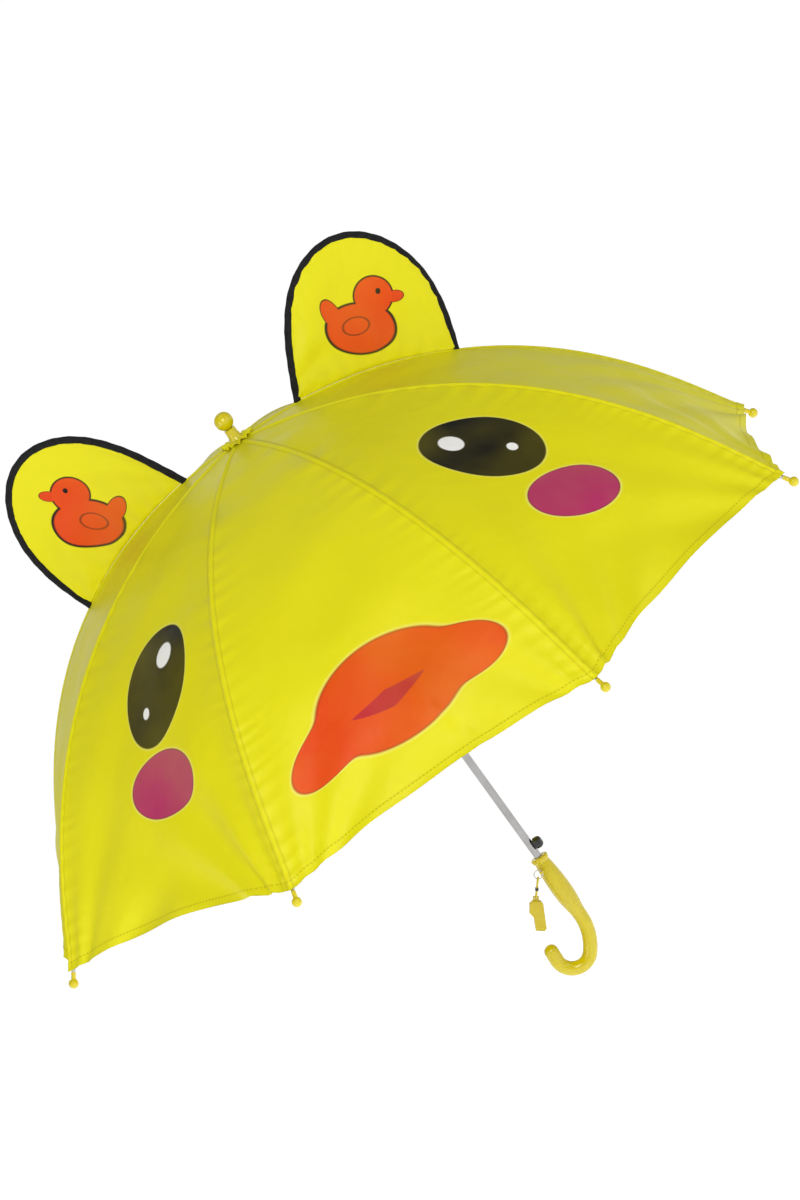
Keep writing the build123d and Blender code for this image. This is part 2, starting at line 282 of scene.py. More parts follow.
def stamped(g, base, distance, ink, soft=0.012, halo=0.05, rim=0.03):
    """A printed shape: a pale halo outside, a darker rim, then the ink."""
    dark = tuple(v * 0.55 for v in ink[:3]) + (1.0,)
    base = g.mix(g.times(g.inside(distance, 1 + halo, soft), 0.55), base, HALO)
    base = g.mix(g.inside(distance, 1.0, soft), base, dark)
    return g.mix(g.inside(distance, 1 - rim, soft), base, ink)


EYE_HALF, CHEEK_HALF = (0.0385, 0.0535), (0.0415, 0.0280)
HIGHLIGHT_HALF, GLINT_HALF = (0.0095, 0.0115), (0.0045, 0.0050)


def eye_cloth(name, side, eye, cheek, tilt, cheek_tilt):
    """A side panel of the face: one oval eye with two round highlights, and one pink cheek."""
    g = cloth_graph(name)
    x, y = g.layer("cloth")
    base = stamped(g, YELLOW, g.oval(x, y, eye, EYE_HALF, side * tilt), INK, halo=0.03)
    highlight = (eye[0] + side * -0.010, eye[1] - 0.024)
    base = g.mix(g.inside(g.oval(x, y, highlight, HIGHLIGHT_HALF), 1.0, 0.06), base, WHITE)
    glint = (eye[0] + side * 0.012, eye[1] + 0.022)
    base = g.mix(g.inside(g.oval(x, y, glint, GLINT_HALF), 1.0, 0.10), base, WHITE)
    base = stamped(g, base, g.oval(x, y, cheek, CHEEK_HALF, cheek_tilt), PINK)
    finish_cloth(g, base)
    return g.material


# Ovals as (centre, half sizes, tilt).
BILL_MIDDLE = ((0.006, 0.3735), (0.070, 0.0455), 0.0)
BILL_ENDS = [((-0.056, 0.3820), (0.050, 0.0215), -0.30), ((0.062, 0.3790), (0.050, 0.0245), 0.16)]
MOUTH_CENTRE, MOUTH_HALF = (0.002, 0.3795), (0.036, 0.0085)
MOUTH_BOW = 2.5


def beak_cloth():
    """The front panel: a broad orange bill, full in the middle, with a small bowed mouth."""
    g = cloth_graph("beak_satin")
    x, y = g.layer("cloth")
    distance = g.oval(x, y, *BILL_MIDDLE)
    for end in BILL_ENDS:
        distance = g.blend(distance, g.oval(x, y, *end), 0.35)
    base = stamped(g, YELLOW, distance, ORANGE, soft=0.02, halo=0.04, rim=0.03)
    bow = g.times(g.times(x, x), MOUTH_BOW)
    mouth_x = g.math("DIVIDE", g.math("SUBTRACT", x, MOUTH_CENTRE[0]), MOUTH_HALF[0])
    mouth_y = g.math("DIVIDE", g.math("ADD", g.math("SUBTRACT", y, MOUTH_CENTRE[1]), bow), MOUTH_HALF[1])
    lips = g.math("POWER", g.math("ABSOLUTE", mouth_y), 1.25)
    mouth = g.math("ADD", g.math("ABSOLUTE", mouth_x), lips)
    base = g.mix(g.inside(mouth, 1.0, 0.04), base, MOUTH)
    finish_cloth(g, base)
    return g.material


# The duck's ovals as (centre, half sizes, tilt), around the middle of the ear.
DUCK = {
    "body": ((-0.003, -0.012), (0.031, 0.021), 0.0),
    "head": ((0.010, 0.015), (0.0165, 0.0165), 0.0),
    "tail": ((-0.029, 0.001), (0.008, 0.0135), 0.55),
    "bill": ((0.029, 0.014), (0.0085, 0.0048), 0.12),
    "wing": ((-0.008, -0.010), (0.013, 0.008), 0.2),
    "eye": ((0.014, 0.019), (0.0022, 0.0026), 0.0),
}


def ear_cloth(name, side, tilt):
    """Ear cloth with a plain orange toy duck: round head, full body, short bill and tail."""
    g = cloth_graph(name)
    x, y = g.layer("cloth")
    c, s = math.cos(tilt), math.sin(tilt)
    u = g.math("ADD", g.times(x, c * side), g.times(y, -s * side))
    v = g.math("ADD", g.times(x, s), g.times(y, c))
    body, head, tail, bill, wing, eye = (g.oval(u, v, *oval) for oval in DUCK.values())
    shape = g.math("MINIMUM", g.math("MINIMUM", body, head), tail)
    base = g.mix(g.inside(g.math("MINIMUM", shape, bill), 1.09, 0.02), YELLOW, INK)
    base = g.mix(g.inside(bill, 1.0, 0.05), base, ORANGE_DEEP)
    base = g.mix(g.inside(shape, 1.0, 0.03), base, ORANGE)
    ring = g.times(g.inside(wing, 1.0, 0.05), g.math("SUBTRACT", 1.0, g.inside(wing, 0.86, 0.05)))
    base = g.mix(g.times(ring, 0.7), base, INK)
    base = g.mix(g.inside(eye, 1.0, 0.1), base, INK)
    finish_cloth(g, base)
    return g.material


def binding_cloth():
    """Matt black tape."""
    g = Graph("black_binding", Roughness=0.8, Sheen_Weight=0.04, Specular_IOR_Level=0.15)
    where = g.place()
    black = g.mix(g.noise(where, 220.0), colour(18, 18, 19), colour(44, 44, 46))
    g.put(g.shader.inputs["Base Color"], black)
    g.put(g.shader.inputs["Normal"], g.bump(g.noise(where, 1400.0), 0.5, 0.0003))
    return g.material


def braid():
    """Round braided cord: crossed strands along its length."""
    g = Graph("yellow_braid", Roughness=0.75, Sheen_Weight=0.3)
    where = g.place()
    strands = g.node("ShaderNodeTexWave")
    g.links.new(where, strands.inputs["Vector"])
    strands.inputs["Scale"].default_value = 900.0
    # Painted shade: the yellow darkens where the strands' bump is low, between the strands.
    yellow = g.mix(strands.outputs["Fac"], colour(196, 176, 12), colour(222, 206, 40))
    g.put(g.shader.inputs["Base Color"], yellow)
    g.put(g.shader.inputs["Normal"], g.bump(strands.outputs["Fac"], 0.6, 0.0002))
    return g.material


def plastic(name, light, deep, roughness, see_through=0.0):
    """Moulded plastic with a thin clear gloss, slightly uneven in colour."""
    g = Graph(name, Coat_Weight=0.35, Coat_Roughness=0.08, Subsurface_Weight=see_through,
              Subsurface_Radius=(0.006, 0.004, 0.001), IOR=1.49)
    where = g.place()
    clouds, scuffs = g.noise(where, 22.0, 2.0), g.noise(where, 160.0, 3.0)
    g.put(g.shader.inputs["Base Color"], g.mix(g.span(clouds, 0.2, 0.8), light, deep))
    g.put(g.shader.inputs["Roughness"], g.span(scuffs, 0.3, 0.7, roughness, roughness + 0.07))
    g.put(g.shader.inputs["Normal"], g.bump(g.noise(where, 60.0, 2.0), 0.03, 0.0005))
    return g.material


def metal(name, base, roughness):
    """Plated metal, drawn along Z: fine streaks in its gloss and a few dull spots."""
    g = Graph(name, Metallic=1.0)
    where = g.place()
    stretch = g.node("ShaderNodeMapping")
    stretch.inputs["Scale"].default_value = (1.0, 1.0, 0.03)
    g.links.new(where, stretch.inputs["Vector"])
    streaks = g.noise(stretch.outputs["Vector"], 900.0, 2.0)
    dull = g.noise(where, 40.0, 4.0)
    darker = tuple(v * 0.7 for v in base[:3]) + (1.0,)
    g.put(g.shader.inputs["Base Color"], g.mix(g.span(dull, 0.45, 0.8), base, darker))
    g.put(g.shader.inputs["Roughness"], g.span(streaks, 0.3, 0.7, roughness, roughness + 0.12))
    g.put(g.shader.inputs["Normal"], g.bump(streaks, 0.05, 0.0001))
    return g.material


MATERIALS = {
    "plain": plain_cloth(),
    "beak": beak_cloth(),
    "eye_right": eye_cloth("right_eye_satin", 1, (0.010, 0.253), (0.007, 0.344), -0.36, 0.50),
    "eye_left": eye_cloth("left_eye_satin", -1, (0.014, 0.259), (0.019, 0.345), -0.25, -0.08),
    "ear_right": ear_cloth("right_ear_satin", 1, math.radians(34)),
    "ear_left": ear_cloth("left_ear_satin", -1, math.radians(30)),
    "binding": binding_cloth(),
    "handle": plastic("handle_plastic", colour(208, 192, 6), colour(196, 177, 3), 0.20, 0.08),
    "tips": plastic("tip_plastic", colour(220, 204, 12), colour(206, 188, 8), 0.25, 0.1),
    "whistle": plastic("whistle_plastic", colour(200, 180, 8), colour(186, 164, 4), 0.35, 0.08),
    "button": plastic("button_plastic", colour(10, 10, 11), colour(20, 20, 21), 0.4),
    "notch": plastic("notch_plastic", colour(224, 208, 60), colour(208, 190, 40), 0.4),
    "tube": metal("bright_tube", (0.44, 0.43, 0.42, 1.0), 0.10),
    "strip": metal("plated_strip", (0.60, 0.60, 0.60, 1.0), 0.28),
    "wire": metal("drawn_wire", (0.58, 0.58, 0.60, 1.0), 0.22),
    "crimp": metal("dark_crimp", (0.06, 0.06, 0.06, 1.0), 0.35),
    "cord": braid(),
}

# ---------------------------------------------------------------- whistle cord
RING_CENTRE = np.array([-8.2, -12.2, 32.8]) / 1000
CORD_ANGLE = math.radians(40.8)
CORD_DIAMETER, CORD_LENGTH = 0.0016, 0.0398
# (down the cord, sideways) in millimetres: from the crimp round the ring, back, and round the whistle's eye.
CORD_ROUTE = [
    (12.2, 0.95), (7.4, 1.45), (3.6, 1.95), (2.0, 0.0), (3.4, -1.95), (7.8, -1.4), (12.6, -0.95),
    (16.4, -1.35), (19.6, -1.95), (21.2, 0.0), (19.8, 1.95), (16.8, 1.45), (13.4, 0.95),
]


def make_cord():
    """Doubled cord through the split ring and the whistle's eye, closed by the crimp."""
    down = np.array([-math.sin(CORD_ANGLE), 0, -math.cos(CORD_ANGLE)])
    points = [
        RING_CENTRE + along / 1000 * down + np.array([0, side / 1000, 0]) for along, side in CORD_ROUTE
    ]
    data = bpy.data.curves.new("cord_line", "CURVE")
    data.dimensions = "3D"
    data.bevel_depth, data.bevel_resolution, data.use_fill_caps = CORD_DIAMETER / 2, 4, True
    spline = data.splines.new("NURBS")
    spline.points.add(len(points) - 1)
    for control, point in zip(spline.points, points):
        control.co = (*point, 1.0)
    spline.order_u, spline.use_endpoint_u, spline.resolution_u = 3, True, 12
    data.materials.append(MATERIALS["cord"])
    cord = bpy.data.objects.new("whistle_loop", data)
    bpy.context.scene.collection.objects.link(cord)
    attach(cord, "whistle")
    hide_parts("whistle_cord")


make_cord()

# ---------------------------------------------------------------- canopy surface
ROWS, COLUMNS = 96, 22
RIDGE_HEIGHT, RIDGE_WIDTH = 0.0014, 0.0024
HEM_WIDTH, HEM_STEP = 0.007, 0.0004


def arc_table(line):
    """Values of t along a Bezier line, with the length of line up to each."""
    t = np.linspace(0, 1, 1201)
    points = bezier(line, t)
    return t, np.concatenate([[0], np.cumsum(np.linalg.norm(np.diff(points, axis=0), axis=1))])


PANEL_T, PANEL_S = arc_table(PANEL_LINE)
PANEL_LENGTH = PANEL_S[-1]
RIB_LENGTH = arc_table(RIB_LINE)[1][-1]
HALF_HEM = RIB_LINE[3][0] * math.sin(HALF_PITCH)
# How high the cloth's folds stand, in metres.
LOOSE_FOLD, CORNER_FOLD, FRONT_CREASE = (0.0003, 0.0007), 0.0042, 0.0011
SEAM_PUCKER, HEM_SWAY = 0.0006, 0.0010
PUCKER_PITCH = 0.013


def bare_panel(mid_angle, t, share):
    """The taut cloth between two ribs, and its distance from the panel's middle.

    t runs from crown to hem, and share from -1 at one rib to 1 at the next.
    """
    rib, panel = bezier(RIB_LINE, t), bezier(PANEL_LINE, t)
    pull = (1 - np.abs(share)) * (1 + np.abs(share))
    across = rib[..., 0] * math.sin(HALF_PITCH) * share
    out = rib[..., 0] * math.cos(HALF_PITCH) * (1 - pull) + panel[..., 0] * pull
    height = rib[..., 1] * (1 - pull) + panel[..., 1] * pull
    points = out[..., None] * radial(mid_angle) + across[..., None] * tangential(mid_angle)
    return points + height[..., None] * UP, across


def waves(number, across, s, share):
    """How far the slack cloth of one panel stands out, in metres. Each panel has its own folds."""
    rng = np.random.default_rng(40 + number)
    total = np.zeros_like(across)
    middle = 1 - share**2
    down = s / PANEL_LENGTH
    for _ in range(4):
        ax, ay, phase = rng.uniform(-75, 75), rng.uniform(25, 80), rng.uniform(0, 2 * math.pi)
        total += rng.uniform(*LOOSE_FOLD) * np.sin(ax * across + ay * s + phase) * middle
    for side in (-1, 1):
        dx, ds = across - side * HALF_HEM, RIB_LENGTH - s
        far = np.hypot(dx, ds)
        angle = np.arctan2(-side * dx, ds + 1e-6)
        fade = np.clip(far / 0.05, 0, 1) * np.exp(-far / 0.105) * np.clip(1 - np.abs(share), 0, 1) ** 0.35
        for _ in range(3):
            turns, phase = rng.uniform(8, 19), rng.uniform(0, 2 * math.pi)
            held = np.clip((1 - np.abs(share)) * 9, 0, 1)
            total += CORNER_FOLD * fade * np.sin(turns * angle + phase) * held
    seam = np.abs(np.abs(share) - 1) * HALF_HEM * np.clip(down, 0.05, 1)
    pucker = np.exp(-seam / 0.012) * np.clip(seam / 0.003, 0, 1)
    total += SEAM_PUCKER * pucker * np.sin(2 * math.pi * s / PUCKER_PITCH + 2.2 * np.sin(s * 55 + number))
    scallop = np.clip((down - 0.9) / 0.1, 0, 1)
    total += HEM_SWAY * scallop * middle * np.sin(across * 70 + number)
    if number == 0:
        crease = np.exp(-(((across - 0.018 - 0.35 * (s - 0.38)) / 0.004) ** 2))
        total += FRONT_CREASE * crease * np.clip((s - 0.36) / 0.03, 0, 1)
    return total * np.clip(down * 4, 0, 1)


def panel_surface(number, t, share):
    """Points of the finished cloth, with their distance from the panel's middle and from the crown.

    Panel 0 lies between rib_1 and rib_2, and so on round. Cloth stands up over each rib, and is
    double at the hem.
    """
    mid_angle = FIRST_RIB + HALF_PITCH + PITCH * number
    points, across = bare_panel(mid_angle, t, share)
    s = np.interp(t, PANEL_T, PANEL_S)
    step = 1e-3
    before, after = np.clip(t - step, 0, 1), np.clip(t + step, 0, 1)
    down = bare_panel(mid_angle, after, share)[0] - bare_panel(mid_angle, before, share)[0]
    sideways = bare_panel(mid_angle, t, share + step)[0] - bare_panel(mid_angle, t, share - step)[0]
    normal = unit(np.cross(down, sideways))
    rise = waves(number, across, s, share)
    from_rib = (1 - np.abs(share)) * bezier(RIB_LINE, t)[..., 0] * math.sin(HALF_PITCH)
    rib_angle = mid_angle + HALF_PITCH * np.sign(share + 1e-9)[..., None]
    slope = bezier(RIB_LINE, after) - bezier(RIB_LINE, before)
    outward = np.concatenate([np.cos(rib_angle), np.sin(rib_angle), np.zeros_like(rib_angle)], axis=-1)
    rib_normal = unit(-slope[..., 1:2] * outward + slope[..., 0:1] * UP)
    near = np.exp(-((from_rib / 0.006) ** 2))[..., None]
    normal = unit(normal * (1 - near) + rib_normal * near)
    ridge = RIDGE_HEIGHT * np.exp(-((from_rib / RIDGE_WIDTH) ** 2))
    from_hem = PANEL_LENGTH - s
    hem = HEM_STEP * np.clip((HEM_WIDTH - from_hem) / 0.0008, 0, 1)
    return points + normal * (rise + ridge + hem)[..., None], across, s


def panel_normals(number, t, share):
    """Directions straight out of the finished cloth."""
    step = 2e-3
    before, after = np.clip(t - step, 0, 1), np.clip(t + step, 0, 1)
    left, right = np.clip(share - step, -1, 1), np.clip(share + step, -1, 1)
    down = panel_surface(number, after, share)[0] - panel_surface(number, before, share)[0]
    sideways = panel_surface(number, t, right)[0] - panel_surface(number, t, left)[0]
    return unit(np.cross(down, sideways))


def grid_mesh(name, top, bottom, normals, layers, materials, face_slot):
    """A thin closed skin from two grids of points.

    Each layer holds two values for a point: one pair for the left half of the columns, and one
    for the right. A piece without its own edge layer is far from every seam and hem.
    """
    rows, columns = top.shape[:2]
    count = rows * columns
    points = np.concatenate([top.reshape(-1, 3), bottom.reshape(-1, 3)])
    faces, slots, sides = [], [], []

    def at(i, j, under=False):
        return i * columns + j + (count if under else 0)

    for i in range(rows - 1):
        for j in range(columns - 1):
            a, b, c, d = (i, j), (i + 1, j), (i + 1, j + 1), (i, j + 1)
            faces.append([at(*p) for p in (a, b, c, d)])
            faces.append([at(*p, under=True) for p in (d, c, b, a)])
            slots += [face_slot(j)] * 2
            sides += [j] * 2
    edge = [(i, 0) for i in range(rows)] + [(rows - 1, j) for j in range(1, columns)]
    edge += [(i, columns - 1) for i in range(rows - 2, -1, -1)] + [(0, j) for j in range(columns - 2, 0, -1)]
    for p, q in zip(edge, edge[1:] + edge[:1]):
        faces.append([at(*q), at(*p), at(*p, under=True), at(*q, under=True)])
        slots.append(face_slot(min(p[1], columns - 2)))
        sides.append(min(p[1], columns - 2))
    mesh = bpy.data.meshes.new(name)
    mesh.from_pydata(points.tolist(), [], faces)
    for material in materials:
        mesh.materials.append(material)
    mesh.polygons.foreach_set("material_index", slots)
    mesh.polygons.foreach_set("use_smooth", [True] * len(faces))
    far = np.ones(top.shape[:2] + (2,))
    for layer_name, (left, right) in ({"edge": (far, far)} | layers).items():
        layer = mesh.uv_layers.new(name=layer_name)
        flat_left, flat_right = left.reshape(-1, 2), right.reshape(-1, 2)
        loops = np.empty(len(mesh.loops), int)
        mesh.loops.foreach_get("vertex_index", loops)
        side_of = np.repeat([columns // 2 > j for j in sides], [len(f) for f in faces])
        values = np.where(side_of[:, None], flat_left[loops % count], flat_right[loops % count])
        layer.data.foreach_set("uv", values.ravel())
    mesh.update()
    if normals is not None:
        both = np.concatenate([normals.reshape(-1, 3), -normals.reshape(-1, 3)])
        mesh.normals_split_custom_set_from_vertices(both.tolist())
    piece = bpy.data.objects.new(name, mesh)
    bpy.context.scene.collection.objects.link(piece)
    return piece


PANEL_CLOTH = {0: "beak", 1: "eye_right", RIBS - 1: "eye_left"}


def make_gore(index):
    """The cloth of one rib, from the middle of one panel to the middle of the next."""
    steps = np.linspace(0, 1, COLUMNS) ** 1.6
    rows = np.linspace(0, 1, ROWS)
    rows = 0.55 * rows + 0.45 * (1 - (1 - rows) ** 2)
    left_panel, right_panel = (index - 1) % RIBS, index
    t, back = np.meshgrid(rows, steps[::-1], indexing="ij")
    left, left_across, left_s = panel_surface(left_panel, t, 1 - back)
    left_normal = panel_normals(left_panel, t, 1 - back)
    t2, ahead = np.meshgrid(rows, steps, indexing="ij")
    right, right_across, right_s = panel_surface(right_panel, t2, ahead - 1)
    right_normal = panel_normals(right_panel, t2, ahead - 1)
    points = np.concatenate([left[:, :-1], right], axis=1)
    normals = np.concatenate([left_normal[:, :-1], right_normal], axis=1)
    normals[:, COLUMNS - 1] = unit(left_normal[:, -1] + right_normal[:, 0])
    left_values = np.stack([left_across, left_s], -1)
    right_values = np.stack([right_across, right_s], -1)
    spare = np.zeros_like(left_values[:, :-1])
    on_left = np.concatenate([left_values, spare], axis=1)
    on_right = np.concatenate([spare, right_values], axis=1)
    half_panel = bezier(RIB_LINE, t[:, :1])[..., 0] * math.sin(HALF_PITCH)
    from_rib = np.concatenate([back, ahead[:, 1:]], axis=1) * half_panel
    from_hem = np.repeat(PANEL_LENGTH - left_s[:, :1], from_rib.shape[1], axis=1)
    edges = np.stack([from_rib, from_hem], -1)
    looks = [MATERIALS[PANEL_CLOTH.get(panel, "plain")] for panel in (left_panel, right_panel)]
    piece = grid_mesh(
        f"canopy_gore_{index + 1}", points, points - normals * CLOTH, normals,
        {"cloth": (on_left, on_right), "edge": (edges, edges)}, looks,
        lambda column: 0 if column < COLUMNS - 1 else 1,
    )
    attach(piece, f"rib_{index + 1}")
    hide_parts(f"gore_{index + 1}")
    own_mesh(piece)


for rib_index in range(RIBS):
    make_gore(rib_index)

# ---------------------------------------------------------------- ears


def smooth_line(points, samples):
    """A Catmull-Rom curve through the points, evenly spaced along its length."""
    padded_points = np.vstack([2 * points[0] - points[1], points, 2 * points[-1] - points[-2]])
    out = []
    for i in range(len(points) - 1):
        a, b, c, d = padded_points[i:i + 4]
        for u in np.linspace(0, 1, 24, endpoint=False):
            out.append(0.5 * ((2 * b) + (c - a) * u + (2 * a - 5 * b + 4 * c - d) * u**2
                              + (3 * b - a - 3 * c + d) * u**3))
    out.append(points[-1])
    out = np.array(out)
    along = np.concatenate([[0], np.cumsum(np.linalg.norm(np.diff(out, axis=0), axis=1))])
    even = np.linspace(0, along[-1], samples)
    return np.stack([np.interp(even, along, out[:, k]) for k in range(out.shape[1])], -1)


def lift(plane_points, side_offset, angle):
    """Points of a rib's plane, given as (out, up), with an offset across the plane."""
    out, up = plane_points[..., 0], plane_points[..., 1]
    in_plane = out[..., None] * radial(angle) + up[..., None] * UP
    return in_plane + np.asarray(side_offset)[..., None] * tangential(angle)


EAR_COLUMNS, EAR_ROWS = 72, 30
EAR_MIDDLE = np.array([0.158, 0.508])
EAR_FOOT_RISE = 0.0016
EAR_STUFFING, EAR_PUCKER, EAR_GATHER, EAR_SLACK, EAR_BEND = 0.0016, 0.0007, 0.0011, 0.0015, 0.004


def make_ear(name, rib, seed):
    """Two layers of cloth, a little stuffed, from the rib up to the bound edge."""
    angle = RIB_ANGLES[rib]
    rim = smooth_line(EAR_LINE, EAR_COLUMNS)
    foot_out = np.linspace(rim[0, 0], rim[-1, 0], EAR_COLUMNS)
    table = bezier(RIB_LINE, np.linspace(0, 1, 1201))
    foot = np.stack([foot_out, np.interp(foot_out, table[:, 0], table[:, 1]) + EAR_FOOT_RISE], -1)
    raised = np.linspace(0, 1, EAR_ROWS)[:, None, None]
    flat = foot[None] * (1 - raised) + rim[None] * raised
    u = np.linspace(0, 1, EAR_COLUMNS)[None, :]
    w = np.linspace(0, 1, EAR_ROWS)[:, None]
    rng = np.random.default_rng(seed)
    body = EAR_STUFFING * np.sin(math.pi * w) ** 0.5 * np.sin(math.pi * u) ** 0.5
    ripples = np.sin(2 * math.pi * (u * 21 + 0.3 * np.sin(9 * u)))
    puckers = EAR_PUCKER * np.exp(-((1 - w) / 0.16)) * ripples
    puckers = puckers * np.clip((1 - w) / 0.05, 0, 1)
    gather = EAR_GATHER * np.exp(-w / 0.25) * np.sin(2 * math.pi * (u * 9 + rng.uniform(0, 1)) + 2 * w)
    gather = gather * np.clip(w / 0.04, 0, 1)
    slack = np.zeros_like(body)
    for _ in range(5):
        a, b, phase = rng.uniform(-17, 17), rng.uniform(4, 15), rng.uniform(0, 2 * math.pi)
        slack = slack + EAR_SLACK * np.sin(a * u + b * w + phase + 0.8 * np.sin(5 * u))
    slack = slack * np.sin(math.pi * u) * np.clip((1 - w) * 3, 0, 1) * np.clip(w * 3, 0, 1)
    bend = EAR_BEND * np.sin(math.pi * u) * w**2
    thickness = 0.0004 + body
    front = lift(flat, bend + slack - thickness + puckers + gather, angle)
    back = lift(flat, bend + slack + thickness - puckers - gather, angle)
    mirror = 1.0 if math.cos(angle) > 0 else -1.0
    print_place = (flat - EAR_MIDDLE) * np.array([mirror, 1.0])
    piece = grid_mesh(
        f"{name}_cloth", front, back, None, {"cloth": (print_place, print_place)}, [MATERIALS[name]],
        lambda column: 0,
    )
    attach(piece, f"rib_{rib + 1}")
    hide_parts(name)
    edge = make_binding(f"{name}_binding", rib, rim, bend[-1])


def rounded(value):
    """A cosine or sine flattened towards a square with round corners."""
    return math.copysign(abs(value) ** 0.7, value)


TAPE_WIDE, TAPE_THICK, TAPE_INSET = 0.0032, 0.0017, 0.0012


def make_binding(name, rib, rim, sideways):
    """Folded black tape sewn round the ear's curved edge."""
    angle = RIB_ANGLES[rib]
    along = unit(np.gradient(rim, axis=0))
    outward = np.stack([-along[:, 1], along[:, 0]], -1)
    if (outward[len(rim) // 2] @ np.array([0, 1.0])) < 0:
        outward = -outward
    turns = np.linspace(0, 2 * math.pi, 16, endpoint=False)
    rings = []
    for k, (point, out) in enumerate(zip(rim, outward)):
        ripple = 1 + 0.06 * math.sin(k * 1.9)
        wide, thick = TAPE_WIDE * ripple, TAPE_THICK * ripple
        cut = [point + out * (wide * rounded(math.cos(a)) - TAPE_INSET) for a in turns]
        side = [sideways[k] + thick * rounded(math.sin(a)) for a in turns]
        rings.append(lift(np.array(cut), np.array(side), angle))
    verts = np.concatenate(rings)
    n = len(turns)
    faces = [
        [i * n + j, i * n + (j + 1) % n, (i + 1) * n + (j + 1) % n, (i + 1) * n + j]
        for i in range(len(rim) - 1) for j in range(n)
    ]
    faces += [list(range(n))[::-1], [(len(rim) - 1) * n + j for j in range(n)]]
    piece = plain_mesh(name, verts, faces, MATERIALS["binding"])
    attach(piece, f"rib_{rib + 1}")
    return piece


def plain_mesh(name, verts, faces, material, smooth=True):
    """A piece of one material, from its points and faces."""
    mesh = bpy.data.meshes.new(name)
    mesh.from_pydata(np.asarray(verts).tolist(), [], faces)
    mesh.materials.append(material)
    mesh.polygons.foreach_set("use_smooth", [smooth] * len(mesh.polygons))
    mesh.update()
    piece = bpy.data.objects.new(name, mesh)
    bpy.context.scene.collection.objects.link(piece)
    return piece


make_ear("ear_right", RIGHT_EAR_RIB, 5)
make_ear("ear_left", LEFT_EAR_RIB, 8)

# ---------------------------------------------------------------- crown rosette and tie strap
ROSETTE_HOLE, ROSETTE_REACH, ROSETTE_HEIGHT = 0.0036, 0.0155, 0.4942
STRAP_PLACE = np.array([384, 20, 231]) / 1000
STRAP_FLAT = (0.012, 0.090)
STUD_RADIUS, STUD_DEPTH = 0.0036, 0.0016


def make_rosette():
    """Small gathered disc of cloth between the crown and the ferrule."""
    turns, rings = 145, 14
    a = np.linspace(0, 2 * math.pi, turns)[None, :]
    f = np.linspace(0, 1, rings)[:, None]
    reach = ROSETTE_REACH * (1 + 0.05 * np.sin(3 * a + 0.5) + 0.03 * np.sin(7 * a))
    r = ROSETTE_HOLE + (reach - ROSETTE_HOLE) * f
    ruffle = f**1.3 * (0.0011 * np.sin(14 * a + 0.8 * np.sin(3 * a)) + 0.0005 * np.sin(23 * a + 1))
    z = ROSETTE_HEIGHT - 0.0008 * f + ruffle
    top = np.stack([r * np.cos(a), r * np.sin(a), z], -1)
    under = top - CLOTH * UP
    flat = top[..., :2]
    piece = grid_mesh("crown_rosette", top, under, None, {"cloth": (flat, flat)}, [MATERIALS["plain"]],
                      lambda column: 0)
    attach(piece, "frame")
    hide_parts("canopy_cap")


def make_strap():
    """Tie strap hanging from the hem: a doubled ribbon with a round end and a snap stud."""
    angle = RIB_ANGLES[STRAP_RIB]
    down = np.linspace(0, 1, 40)[:, None]
    across = np.linspace(-1, 1, 9)[None, :]
    width, length = STRAP_FLAT
    end = np.sqrt(np.clip(1 - np.clip((down - 0.93) / 0.07, 0, 1) ** 2, 0.02, 1))
    side = STRAP_PLACE[1] + across * width / 2 * end
    sway = 0.0018 * np.sin(down * 5.2) * down
    curl = 0.0005 * np.sin(across * 2 + down * 9)
    out = STRAP_PLACE[0] + sway + curl
    up = STRAP_PLACE[2] - down * length + np.zeros_like(side)
    face = lift(np.stack([out, up], -1), side, angle)
    shift = 0.0004 * radial(angle)
    values = np.stack([side, up], -1)
    piece = grid_mesh("strap_ribbon", face - shift, face + shift, None, {"cloth": (values, values)},
                      [MATERIALS["plain"]], lambda column: 0)
    stud = make_stud(face[36, 4], radial(angle))
    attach(piece, "tie_strap")
    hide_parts("tie_strap")


def make_stud(place, outward):
    """The snap stud near the strap's end."""
    bpy.ops.mesh.primitive_cylinder_add(
        vertices=32, radius=STUD_RADIUS, depth=STUD_DEPTH, location=tuple(place)
    )
    stud = bpy.context.object
    stud.name = "strap_stud"
    stud.rotation_mode = "QUATERNION"
    stud.rotation_quaternion = Vector(outward).to_track_quat("Z", "Y")
    bevel = stud.modifiers.new("rounding", "BEVEL")
    bevel.width, bevel.segments = 0.0006, 3
    stud.data.materials.append(MATERIALS["notch"])
    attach(stud, "tie_strap")
    return stud


make_rosette()
make_strap()

# ---------------------------------------------------------------- CAD nodes that keep their shape
LOOKS = {
    "shaft_tube": "tube", "spring_sleeve": "tube", "handle": "handle", "ferrule": "tips",
    "top_notch": "notch", "runner": "notch", "spring_slide": "notch", "top_wire": "wire",
    "runner_wire": "wire", "button_spring": "wire", "opening_spring": "wire", "split_ring": "wire",
    "release_button": "button", "cord_crimp": "crimp", "whistle": "whistle",
}
for rib_number in range(1, RIBS + 1):
    LOOKS |= {f"rib_{rib_number}": "strip", f"stretcher_{rib_number}": "strip"}
    LOOKS |= {f"link_{rib_number}": "strip", f"rib_tip_{rib_number}": "tips"}
for node, look in LOOKS.items():
    for material_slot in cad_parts[node].material_slots:
        material_slot.material = MATERIALS[look]

# ---------------------------------------------------------------- floor and light
FLOOR_HALF, FLOOR_HEIGHT = 30.0, -1.2


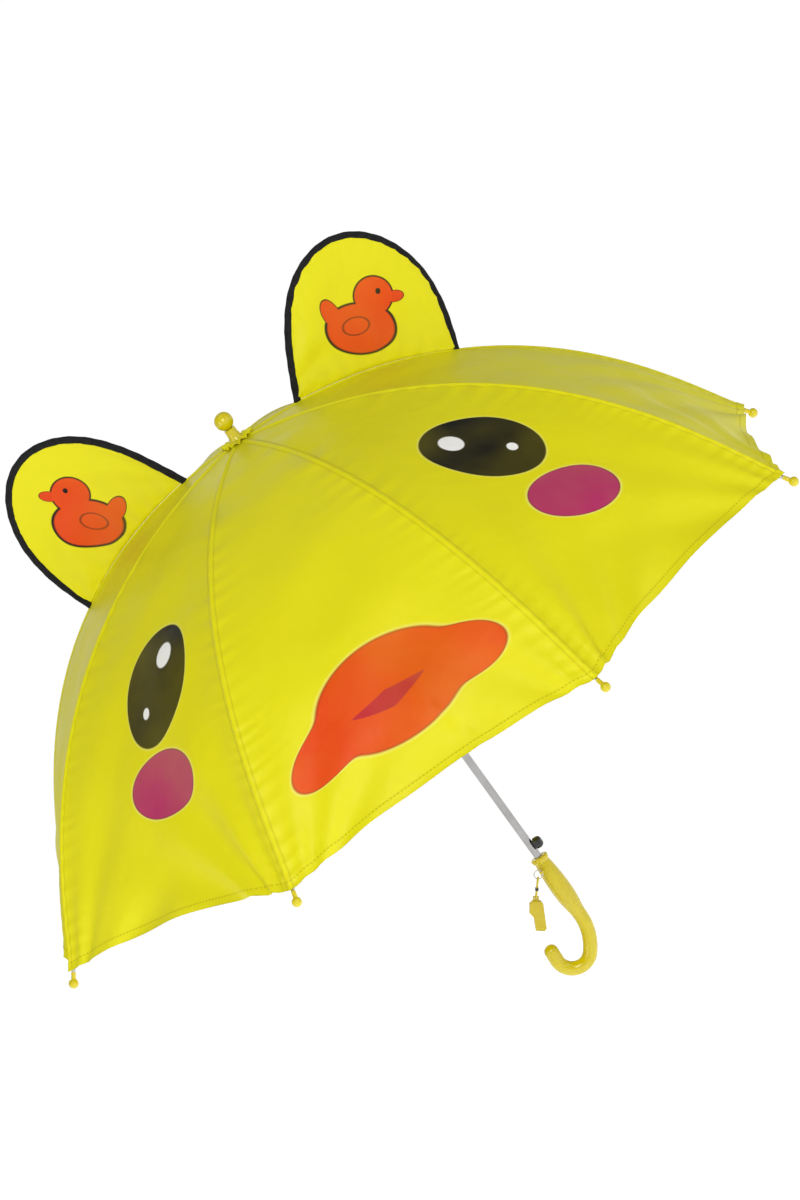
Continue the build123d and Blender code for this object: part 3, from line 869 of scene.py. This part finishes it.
def make_stage():
    """A pale floor, far enough below the part to stay clear of it."""
    corners = [(-1, -1), (1, -1), (1, 1), (-1, 1)]
    verts = [(x * FLOOR_HALF, y * FLOOR_HALF, FLOOR_HEIGHT) for x, y in corners]
    g = Graph("pale_floor", Roughness=0.9, Specular_IOR_Level=0.1, Emission_Strength=0.80)
    g.shader.inputs["Base Color"].default_value = (0.90, 0.90, 0.90, 1.0)
    g.shader.inputs["Emission Color"].default_value = (1.0, 1.0, 1.0, 1.0)
    plain_mesh("floor", verts, [[0, 1, 2, 3]], g.material, smooth=False)


def area_light(name, place, size, power, target=(0, 0, 0.35)):
    """A square soft light that faces the target."""
    data = bpy.data.lights.new(name, "AREA")
    data.shape, data.size, data.energy = "SQUARE", size, power
    light = bpy.data.objects.new(name, data)
    light.location = place
    light.rotation_mode = "QUATERNION"
    light.rotation_quaternion = (Vector(target) - Vector(place)).to_track_quat("-Z", "Y")
    bpy.context.scene.collection.objects.link(light)


def make_world():
    """A pale grey room, brighter towards the horizon and a little dimmer on one side."""
    world = bpy.data.worlds.new("studio")
    world.use_nodes = True
    nodes, links = world.node_tree.nodes, world.node_tree.links
    coordinates, parts = nodes.new("ShaderNodeTexCoord"), nodes.new("ShaderNodeSeparateXYZ")
    links.new(coordinates.outputs["Generated"], parts.inputs[0])
    nodes["Background"].inputs["Color"].default_value = (1.0, 1.0, 1.0, 1.0)
    height, side = nodes.new("ShaderNodeMapRange"), nodes.new("ShaderNodeMapRange")
    for made, axis, values in ((height, "Z", (0.0, 0.7, 0.50, 0.20)), (side, "X", (0.25, 0.45, 1.0, 0.85))):
        links.new(parts.outputs[axis], made.inputs["Value"])
        for key, value in zip(("From Min", "From Max", "To Min", "To Max"), values):
            made.inputs[key].default_value = value
    product = nodes.new("ShaderNodeMath")
    product.operation = "MULTIPLY"
    links.new(height.outputs["Result"], product.inputs[0])
    links.new(side.outputs["Result"], product.inputs[1])
    links.new(product.outputs[0], nodes["Background"].inputs["Strength"])
    bpy.context.scene.world = world


make_stage()
area_light("key", (0.4, -3.9, 2.7), 1.8, 84)
area_light("left_fill", (-3.0, -2.6, 1.4), 2.2, 27)
area_light("right_fill", (3.2, -1.8, 1.6), 2.2, 17)
area_light("top", (0.4, 0.6, 3.6), 2.5, 9)
area_light("rear", (-0.8, 3.6, 2.0), 2.2, 14)
make_world()
bpy.context.scene.view_settings.view_transform = "Standard"
